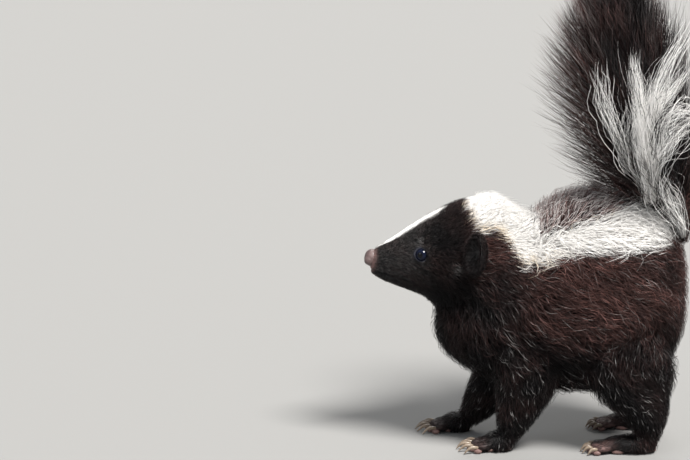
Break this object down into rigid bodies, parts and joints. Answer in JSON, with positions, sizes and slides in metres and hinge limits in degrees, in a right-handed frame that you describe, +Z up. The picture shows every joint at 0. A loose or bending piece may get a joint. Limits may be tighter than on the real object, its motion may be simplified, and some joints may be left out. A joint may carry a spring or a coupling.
{
  "type": "striped skunk",
  "caption": "Life-size still model of a young striped skunk standing on all fours with its bushy tail raised over its back, black coat with white nape, stripes and nose line",
  "frame": {"origin": "On the floor, under the middle of the outline's box", "axes": "+Z up, -X the way the nose points, -Y the animal's left side"},
  "size_m": [0.2152, 0.1012, 0.3017],
  "materials": {
    "black_coat": "long soft guard hair, brown-black, with white markings on nape, back, nose line and tail",
    "nose_skin": "moist pebbled skin, pinkish brown",
    "eye": "wet, near black",
    "ear_skin": "thin dark skin with short fur",
    "paw_skin": "bare creased sole and toe skin, short dark fur above",
    "claw": "horn, paler at the tip"
  },
  "bodies": {
    "root": {"claw_fore_left_1": "claw", "claw_fore_left_2": "claw", "claw_fore_left_3": "claw", "claw_fore_left_4": "claw", "claw_fore_left_5": "claw", "claw_fore_right_1": "claw", "claw_fore_right_2": "claw", "claw_fore_right_3": "claw", "claw_fore_right_4": "claw", "claw_fore_right_5": "claw", "claw_hind_left_1": "claw", "claw_hind_left_2": "claw", "claw_hind_left_3": "claw", "claw_hind_left_4": "claw", "claw_hind_left_5": "claw", "claw_hind_right_1": "claw", "claw_hind_right_2": "claw", "claw_hind_right_3": "claw", "claw_hind_right_4": "claw", "claw_hind_right_5": "claw", "ear_left": "ear_skin", "ear_right": "ear_skin", "eye_left": "eye", "eye_right": "eye", "fore_foot_left": "paw_skin", "fore_foot_right": "paw_skin", "fore_leg_left": "black_coat", "fore_leg_right": "black_coat", "head": "black_coat", "hind_foot_left": "paw_skin", "hind_foot_right": "paw_skin", "hind_leg_left": "black_coat", "hind_leg_right": "black_coat", "lower_jaw": "black_coat", "neck": "black_coat", "nose": "nose_skin", "tail": "black_coat", "torso": "black_coat"}
  },
  "joints": []
}
